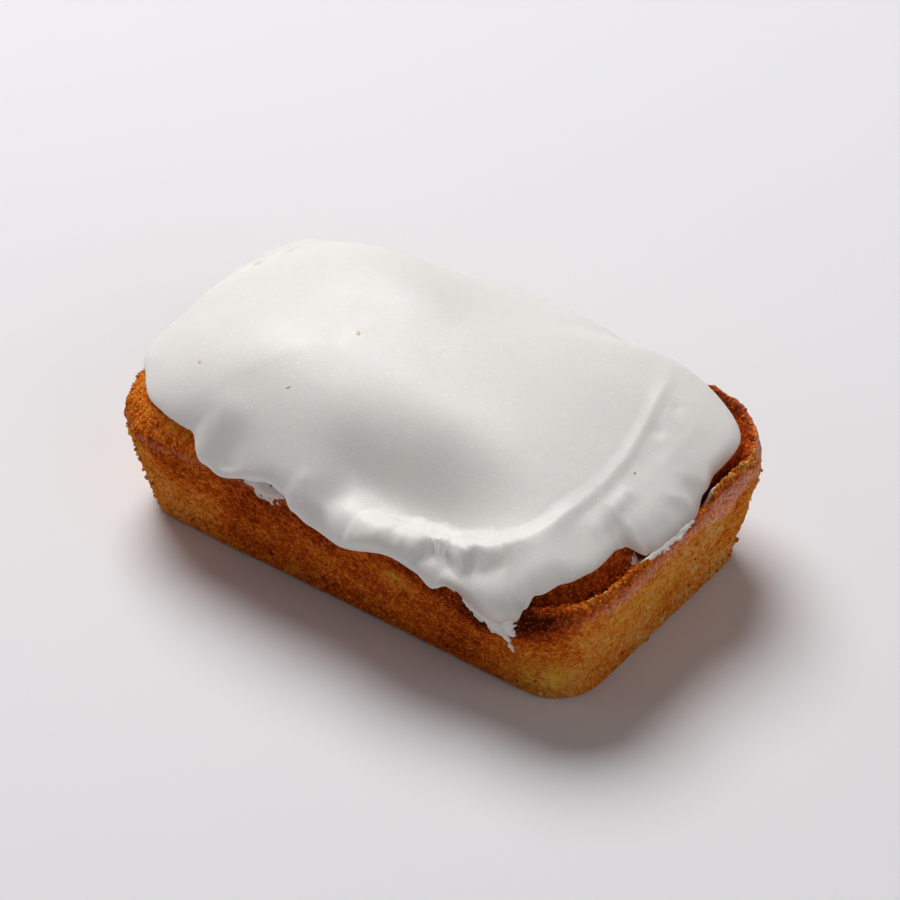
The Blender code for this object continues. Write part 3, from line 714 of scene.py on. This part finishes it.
def besidePath(flat, path):  # way to the right of the path, share of the way along it, way past its ends
    side, share, beyond = [], [], []
    headings = np.gradient(path, axis=0)
    headings = headings / np.linalg.norm(headings, axis=1, keepdims=True)
    for some in np.array_split(flat, max(1, len(flat) // 8000)):  # a few thousand at a time, to save memory
        away = some[:, None] - path[None]
        nearest = np.argmin((away ** 2).sum(axis=2), axis=1)
        offset = some - path[nearest]
        heading = headings[nearest]
        ahead = (offset * heading).sum(axis=1)
        side.append(offset[:, 0] * heading[:, 1] - offset[:, 1] * heading[:, 0])
        share.append(nearest / (len(path) - 1))
        beforeStart = np.where(nearest == 0, np.maximum(-ahead, 0), 0)
        beyond.append(np.where(nearest == len(path) - 1, np.maximum(ahead, 0), beforeStart))
    return np.concatenate(side), np.concatenate(share), np.concatenate(beyond)


def smoothPath(corners, steps):
    corners = np.array(corners, float)
    ends = np.concatenate([2 * corners[:1] - corners[1:2], corners, 2 * corners[-1:] - corners[-2:-1]])
    places = np.linspace(0, len(corners) - 1 - 1e-6, steps)
    first = places.astype(int)
    t = (places - first)[:, None]
    p0, p1, p2, p3 = (ends[first + shift] for shift in range(4))
    bend = (2 * p0 - 5 * p1 + 4 * p2 - p3) * t ** 2 + (3 * p1 - p0 - 3 * p2 + p3) * t ** 3
    return p1 + 0.5 * ((p2 - p0) * t + bend)


def flatNoise(flat, layers):
    level = np.column_stack([flat, np.zeros(len(flat))])
    return sum(strength * lumps(level, size, seed) for size, strength, seed in layers)


def icingRelief(flat):
    corners = np.array(icing["knifeRoll"])
    side, along, beyond = besidePath(flat, smoothPath(corners[:, :2], icing["rollSteps"]))
    height, top, inner, outer, press, ragged = (
        np.interp(along * (len(corners) - 1), np.arange(len(corners)), column) for column in corners[:, 2:].T)
    side = side + ragged * flatNoise(flat, icing["rollSides"])
    height = height * (1 + flatNoise(flat, icing["rollSwell"]))
    away = np.sqrt(side ** 2 + beyond ** 2)
    inside = height * (1 - np.clip((away - top) / inner, 0, 1)) ** icing["rollSlope"]
    outside = height - (height + press) * ease(away / outer)
    relief = np.where(side < 0, inside, outside)
    for start, end, height, width in icing["smallRidges"]:
        side, along, beyond = besidePath(flat, np.linspace(start, end, icing["ridgeSteps"]))
        relief = relief + height * np.exp(-(side ** 2 + beyond ** 2) / width ** 2)
    for middle, depth, length, width in icing["hollows"]:
        gap = (flat - np.array(middle)) / np.array((length, width))
        relief = relief - depth * np.exp(-(gap ** 2).sum(axis=1))
    return relief + flatNoise(flat, icing["waves"])


def squareToRim(u, v):  # angle round the loaf of each place of a square grid, corners on corners
    ring = np.maximum(np.abs(u), np.abs(v))
    ring = np.where(ring > 0, ring, 1)
    x, y = u / ring, v / ring
    onRight = (x >= np.abs(y))
    onTop = (y > np.abs(x)) | ((y == np.abs(x)) & (x < 1))
    onLeft = (-x >= np.abs(y)) & ~onTop
    walk = np.where(onRight, y, np.where(onTop, 2 - x, np.where(onLeft, 4 - y, 6 + x)))
    inset = loaf["rimCorner"] * (1 - np.sqrt(0.5))
    corner = np.arctan2(halfWidth - inset, halfLength - inset)
    fine, travelled = rimTravel(-corner)
    corners = np.array([-corner, corner, np.pi - corner, np.pi + corner, 2 * np.pi - corner])
    reached = np.interp((walk + 1) % 8 - 1, [-1, 1, 3, 5, 7], np.interp(corners, fine, travelled))
    return np.interp(reached, travelled, fine)


def icingShape(angle, ring):
    rings, edgeRings = icing["rings"], icing["edgeRings"]
    edge = icingEdge(angle)
    feather = sum(arc(angle, start, end, icing["featherFade"]) for start, end in icing["feathers"])
    feather = np.clip(feather, 0, 1)
    width = sum(more * arc(angle, start, end, icing["softFade"]) for start, end, more in icing["softEdges"])
    width = icing["edgeWidth"] + width
    width = width + (icing["featherWidth"] - width) * feather
    inside = np.clip(ring / (rings - edgeRings), 0, 1)
    around = np.clip((ring - rings + edgeRings) / edgeRings, 0, 1) * np.radians(icing["edgeTurn"])
    turnedUnder = around > np.pi / 2
    inset = np.where(turnedUnder, icing["tuck"], width) * (1 - np.sin(around))
    reach = np.where(around > 0, edge - inset, -halfWidth + inside * (edge - width + halfWidth))
    further = np.clip(ring - rings, 0, None)  # the rings of the underside
    reach = np.where(further > 0, edge - icing["underStart"] - further * icing["underStep"], reach)
    bed = place(angle, *skin(angle, reach))
    relief = icingRelief(bed[:, :2]) * ease((edge - reach) / icing["edgeWidth"])
    upright = ease(-reach / icing["upright"])
    full = icing["thickness"] + relief * (1 - upright)
    overhang = icing["edgeOverhang"] * (1 - feather)
    rounding = np.abs(np.cos(around)) ** (1 + icing["featherRounding"] * feather)
    above = overhang + (full - overhang) * rounding
    turnedIn = np.abs(np.cos(around)) / np.abs(np.cos(np.radians(icing["edgeTurn"])))
    below = overhang - (overhang + icing["sink"]) * turnedIn
    height = np.where(turnedUnder, below, above)
    height = np.where(further > 0, -icing["sink"] - icing["underLift"] * further, height)
    thin = np.clip(1 - height / icing["thinBelow"], 0, 1) * feather
    points = bed + outward(angle, reach) * height[:, None]
    points[:, 2] += np.where(further > 0, 0, relief * upright * rounding * ~turnedUnder)
    return points, {"thin": np.where(around > 0, thin, 0)}


def makeIcing(material):
    form = bmesh.new()
    cells = 2 * icing["rings"]
    bmesh.ops.create_grid(form, x_segments=cells, y_segments=cells, size=1)
    rim = [edge for edge in form.edges if edge.is_boundary]
    under = form.verts.layers.int.new("under")
    for level in range(1, icing["underRings"] + 1):
        made = bmesh.ops.extrude_edge_only(form, edges=rim)["geom"]
        for part in made:
            if isinstance(part, bmesh.types.BMVert):
                part[under] = level
        rim = [part for part in made if isinstance(part, bmesh.types.BMEdge) and part.is_boundary]
    made = bmesh.ops.extrude_edge_only(form, edges=rim)["geom"]
    closing = [part for part in made if isinstance(part, bmesh.types.BMVert)]
    bmesh.ops.pointmerge(form, verts=closing, merge_co=(0, 0, 0))
    form.verts.ensure_lookup_table()
    grid = np.array([vertex.co for vertex in form.verts])
    level = np.array([vertex[under] for vertex in form.verts])
    meeting = np.argmax([len(vertex.link_edges) for vertex in form.verts])  # where the underside closes
    bmesh.ops.recalc_face_normals(form, faces=form.faces)
    mesh = bpy.data.meshes.new("icingCoat")
    form.to_mesh(mesh)
    form.free()
    ring = np.rint(np.maximum(np.abs(grid[:, 0]), np.abs(grid[:, 1])) * icing["rings"]) + level
    points, tones = icingShape(squareToRim(grid[:, 0], grid[:, 1]), ring)
    points[meeting] = (0, 0, loaf["rimHeight"] + loaf["domeRise"] - icing["closingDepth"])
    return showPiece(mesh, points, tones, material, "icing")


# Films of icing that the knife dragged over the crust

smears = {
    "film": 0.3, "sunk": 0.5, "cell": 0.16, "raggedness": 0.75, "seed": 61, "calmCore": 0.6, "edgeThin": 0.75,
    "pieces": 12, "crumbShare": 0.45,
    # size, strength and seed of the rags at their edges
    "rags": ((0.5, 1.0, 0), (1.3, 0.6, 9)),
    # from and to angle, from and to reach, mm for every degree of turn, least tint of thin icing, and the
    # strokes: angle, reach and half width along each
    "regions": {
        "corner": ((-51, -36), (-1.5, 12.5), 0.82, 0.0, (
            ((-48, 0.8, 0.7), (-45, 2.0, 1.0), (-43.0, 3.6, 1.3), (-41.6, 5.2, 1.0), (-40.6, 6.8, 0.6),
             (-40.1, 7.9, 0.2)),
            ((-41.4, 1.6, 1.2), (-40.8, 3.6, 0.9), (-39.6, 5.2, 0.35)),
            ((-39.9, 8.6, 0.2), (-39.4, 9.8, 0.28), (-38.9, 11.0, 0.18)),
            ((-43.8, 4.8, 0.2), (-42.9, 6.2, 0.25)), ((-46.4, 2.6, 0.25), (-45.2, 3.9, 0.3)),
        )),
        "fringe": ((-17, 10), (-5, 1.5), 0.84, 0.1, (
            ((-13.4, -3.0, 0.7), (-12.4, -1.8, 0.9), (-9.2, -0.9, 1.0), (-5.5, -0.6, 0.9), (-1, -0.4, 0.9),
             (2.0, -0.5, 0.6)),
            ((-12.6, -1.4, 0.5), (-12.0, -0.2, 0.3)), ((-7.5, -0.6, 0.6), (-6.4, 0.7, 0.25)),
            ((-3.4, -0.3, 0.5), (-2.6, 0.6, 0.2)),
        )),
        "front": ((-119, -100), (-2.5, 3.5), 0.60, 0.5, (
            ((-114.5, -0.8, 0.9), (-111.5, 0, 1.2), (-108.8, 0.4, 1.3), (-106, 0, 1.2), (-103.6, -0.6, 0.9)),
            ((-111.8, 0.8, 0.5), (-110.9, 1.9, 0.25)), ((-108.2, 1.2, 0.6), (-106.8, 2.0, 0.3)),
        )),
    },
}


def strokeField(angle, reach, perDegree, strokes):  # 1 along a stroke's middle, 0 at its edge, then below 0
    best = np.full(len(angle), -9.0)
    for stroke in strokes:
        corners = np.array(stroke)
        fine = np.linspace(0, len(corners) - 1, smears["pieces"] * len(corners))
        middle, level, width = (np.interp(fine, np.arange(len(corners)), column) for column in corners.T)
        across = (np.degrees(angle)[:, None] - middle) * perDegree
        distance = np.sqrt(across ** 2 + (reach[:, None] - level) ** 2)
        best = np.maximum(best, (1 - distance / width).max(axis=1))
    return best


def sheetShell(across, down):  # faces of a closed slab over a grid: top sheet, the sheet under it, its sides
    first = (np.arange(down - 1)[:, None] * across + np.arange(across - 1)).ravel()
    top = np.stack([first, first + 1, first + across + 1, first + across], axis=-1)
    count = across * down
    rows, columns = np.arange(down), np.arange(across)
    rim = np.concatenate([columns, rows[1:] * across + across - 1, (down - 1) * across + columns[-2::-1],
                          rows[-2:0:-1] * across])
    after = np.roll(rim, -1)
    sides = np.stack([rim, rim + count, after + count, after], axis=-1)
    return np.concatenate([top, top[:, ::-1] + count, sides])


def makeSmears(material):
    points, faces, thin, total = [], [], [], 0
    film, sunk = smears["film"], smears["sunk"]
    for region, (angles, reaches, perDegree, veil, strokes) in enumerate(smears["regions"].values()):
        across = int((angles[1] - angles[0]) * perDegree / smears["cell"])
        down = int((reaches[1] - reaches[0]) / smears["cell"])
        columns, rows = np.radians(np.linspace(*angles, across)), np.linspace(*reaches, down)
        reach, angle = (part.ravel() for part in np.meshgrid(rows, columns, indexing="ij"))
        crust = crustPoint(angle, reach, smears["crumbShare"])
        field = strokeField(angle, reach, perDegree, strokes)
        seed = smears["seed"] + region
        rags = sum(strength * lumps(crust, size, seed + shift) for size, strength, shift in smears["rags"])
        field = field + smears["raggedness"] * rags * (1 - smears["calmCore"] * np.clip(field, 0, 1))
        lift = np.where(field > 0, film * np.sqrt(np.clip(field, 0, 1)), np.maximum(field, -1.0) * sunk)
        normal = outward(angle, reach)
        points += [crust + normal * lift[:, None], crust - normal * 2 * sunk]
        faces.append(sheetShell(across, down) + total)
        thin += [np.maximum(smears["edgeThin"] * np.clip(1 - lift / film, 0, 1), veil)] * 2
        total += 2 * len(crust)
    mesh = newMesh("icingSmears", total, np.concatenate(faces)[:, ::-1].tolist())
    return showPiece(mesh, np.concatenate(points), {"thin": np.concatenate(thin)}, material)


# Loose and half sunk crumbs of crust

scatter = {
    "seed": 83, "crumbs": 1500, "smallest": 0.22, "largest": 0.62, "fewLarge": 2.5, "sunk": 0.35,
    "stretch": (0.7, 1.25), "lumpiness": 0.34, "paler": 0.10, "toneSwing": 0.22,
    "bareFrom": 0.9, "panUpTo": 0.6,
    # from and to angle, from and to reach, share of the crumbs, size compared with the others
    "places": (
        (-44, 58, -1.9, 0.4, 0.26, 1.15), (-42, -14, -3.6, -1.2, 0.06, 1.2), (6, 22, -1.0, 0.2, 0.05, 1.3),
        (-205, -120, -3.5, 0.6, 0.16, 1.1), (-215, -130, 0.5, 20, 0.16, 0.9), (-130, -44, 1, 21, 0.13, 0.85),
        (-40, 50, 3, 21, 0.14, 0.85), (50, 146, 0.2, 21, 0.04, 0.9),
        (-205, -140, 3, 20.5, 0.14, 1.35), (-140, 52, 17.5, 21.2, 0.16, 1.3), (24, 56, 0, 12, 0.04, 1.3),
    ),
}


def ballPattern(subdivisions):
    form = bmesh.new()
    bmesh.ops.create_icosphere(form, subdivisions=subdivisions, radius=1)
    corners = np.array([vertex.co for vertex in form.verts])
    faces = np.array([[vertex.index for vertex in face.verts] for face in form.faces])
    form.free()
    return corners, faces


def manyBalls(name, faces, corners, count):  # a mesh of many balls of one pattern
    every = (faces[None] + corners * np.arange(count)[:, None, None]).reshape(-1, 3)
    return newMesh(name, corners * count, every.tolist())


def makeCrumbs(material):
    random = np.random.default_rng(scatter["seed"])
    corners, faces = ballPattern(2)
    angles, reaches, sizes = [], [], []
    for fromAngle, toAngle, fromReach, toReach, share, scale in scatter["places"]:
        count = int(scatter["crumbs"] * share)
        angles.append(np.radians(random.uniform(fromAngle, toAngle, count)))
        reaches.append(random.uniform(fromReach, toReach, count))
        larger = (scatter["largest"] - scatter["smallest"]) * random.random(count) ** scatter["fewLarge"]
        sizes.append(scale * (scatter["smallest"] + larger) / 2)
    angle, reach, size = (np.concatenate(part) for part in (angles, reaches, sizes))
    keep = (bare(angle, reach) > scatter["bareFrom"]) & (panMask(angle, reach) < scatter["panUpTo"])
    angle, reach, size = angle[keep], reach[keep], size[keep]
    centres = crustPoint(angle, reach) + outward(angle, reach) * (size * (1 - 2 * scatter["sunk"]))[:, None]
    count = len(centres)
    turns = random.normal(size=(count, 3, 3))
    shapes = np.array([np.linalg.qr(turn)[0] for turn in turns])
    stretch = random.uniform(*scatter["stretch"], (count, 1, 3))
    lumpy = 1 + scatter["lumpiness"] * random.uniform(-1, 1, (count, len(corners), 1))
    local = (corners[None] * stretch * lumpy) @ shapes
    points = (centres[:, None] + local * size[:, None, None]).reshape(-1, 3)
    bakeAndLight = crustTones(angle, reach)["bakeAndLight"] - scatter["paler"]
    bakeAndLight = bakeAndLight + scatter["toneSwing"] * random.uniform(-1, 1, count)
    plain = np.zeros(len(points))
    tones = {"bakeAndLight": np.repeat(np.clip(bakeAndLight, 0, 1), len(corners)), "pan": plain, "pale": plain}
    return showPiece(manyBalls("crustCrumbs", faces, len(corners), count), points, tones, material)


# Zest flecks set into the icing

zest = {
    # seen from above: x, y, half length, half width, turn in degrees, share of the deep colour
    "flecks": (
        (-10, -8, 0.5, 0.3, 20, 0.15), (-30.5, -22.5, 0.42, 0.3, 70, 0.15),
        (-13.5, -21.5, 0.42, 0.22, -35, 0.15), (37.8, -0.8, 0.26, 0.24, 0, 0.9),
    ),
    "height": 0.1, "dropFrom": 90, "lumpiness": 0.25, "lumpSize": 0.8, "lumpSeed": 71,
    "colours": {"fleck": (232, 212, 182), "deep": (196, 138, 44), "light": (240, 226, 204)},
    "patches": (0.3, 2.0, 5.0), "lightShare": 0.4, "roughSteps": (0.2, 0.8, 0.35, 0.6),
    "sockets": {
        "Subsurface Weight": 0.3, "Subsurface Radius": (1.0, 0.6, 0.2), "Subsurface Scale": 0.4 * mm,
    },
}


def makeZestMaterial():
    material, nodes, paint = newMaterial("candiedZest", zest)
    cloud = nodes.patches(*zest["patches"])
    colour = nodes.blend(nodes.tone("deep"), paint["fleck"], paint["deep"])
    nodes.put("Base Color", nodes.blend(nodes.times(cloud, zest["lightShare"]), colour, paint["light"]))
    nodes.put("Roughness", nodes.between(cloud, *zest["roughSteps"]))
    return material


def makeZest(material, coat):
    corners, faces = ballPattern(3)
    points, deep = [], []
    for x, y, length, width, turn, share in zest["flecks"]:
        spot, normal = coat.ray_cast(Vector((x, y, zest["dropFrom"])) * mm, Vector((0, 0, -1)))[1:3]
        tilt = np.array(normal.to_track_quat("Z", "X").to_matrix())
        swell = 1 + zest["lumpiness"] * lumps(corners + (x, y, 0), zest["lumpSize"], zest["lumpSeed"])
        ahead, aside, up = (corners * (length, width, zest["height"]) * swell[:, None]).T
        turned = np.column_stack([*spun(ahead, aside, turn), up])
        points.append(turned @ tilt.T + np.array(spot) / mm)
        deep.append(np.full(len(corners), share))
    mesh = manyBalls("zestFlecks", faces, len(corners), len(points))
    return showPiece(mesh, np.concatenate(points), {"deep": np.concatenate(deep)}, material)


# The floor of the studio

floorLook = {
    "size": 4000, "light": (0.80, 0.793, 0.815), "shade": 0.985, "patches": (60.0, 0.6, 0.0),
    "colours": {}, "sockets": {"Roughness": 0.7, "Specular IOR Level": 0.2},
}


def makeFloor():
    bpy.ops.mesh.primitive_plane_add(size=floorLook["size"] * mm)
    floor = bpy.context.object
    floor.name = "studioFloor"
    material, nodes, _ = newMaterial("paleFloor", floorLook)
    shade = [floorLook["shade"] * value for value in floorLook["light"]]
    cloud = nodes.patches(*floorLook["patches"])
    nodes.put("Base Color", nodes.blend(cloud, (*floorLook["light"], 1), (*shade, 1)))
    floor.data.materials.append(material)


makeCamera()
makeLights()
makeFloor()
print("studio ready")
crustMaterial, icingMaterial = makeCrustMaterial(), makeIcingMaterial()
makeCrust(crustMaterial)
icingCoat = makeIcing(icingMaterial)
makeSmears(icingMaterial)
makeCrumbs(crustMaterial)
makeZest(makeZestMaterial(), icingCoat)
